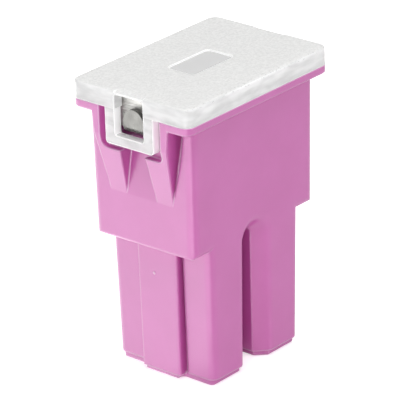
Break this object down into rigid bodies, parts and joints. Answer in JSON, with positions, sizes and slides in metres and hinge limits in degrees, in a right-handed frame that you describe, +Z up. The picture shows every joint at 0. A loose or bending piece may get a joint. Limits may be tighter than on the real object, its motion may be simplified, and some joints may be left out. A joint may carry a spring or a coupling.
{
  "type": "automotive cartridge fuse",
  "caption": "Female cartridge fuse: a drafted moulded housing with socket legs, end ribs, a flange and a clear clip-on cover over a stamped fuse element.",
  "frame": {"origin": "middle of the footprint, on the plane the feet stand on", "axes": "+Z up from the feet to the clear cover, +X along the long side of the flange, +Y across it"},
  "size_m": [0.0208, 0.0142, 0.0298],
  "materials": {
    "housing_plastic": "moulded polyamide, semi-gloss, magenta pink",
    "clear_plastic": "clear moulded plastic, frosted on top",
    "tinned_copper": "bright tin plate on copper alloy strip",
    "tin": "dull tin",
    "spring_steel": "rolled stainless strip"
  },
  "bodies": {
    "root": {"housing": "housing_plastic", "clear_cover": "clear_plastic", "fuse_element": "tinned_copper", "tin_pill": "tin", "terminal_spring_left": "spring_steel", "terminal_spring_right": "spring_steel"}
  },
  "joints": []
}
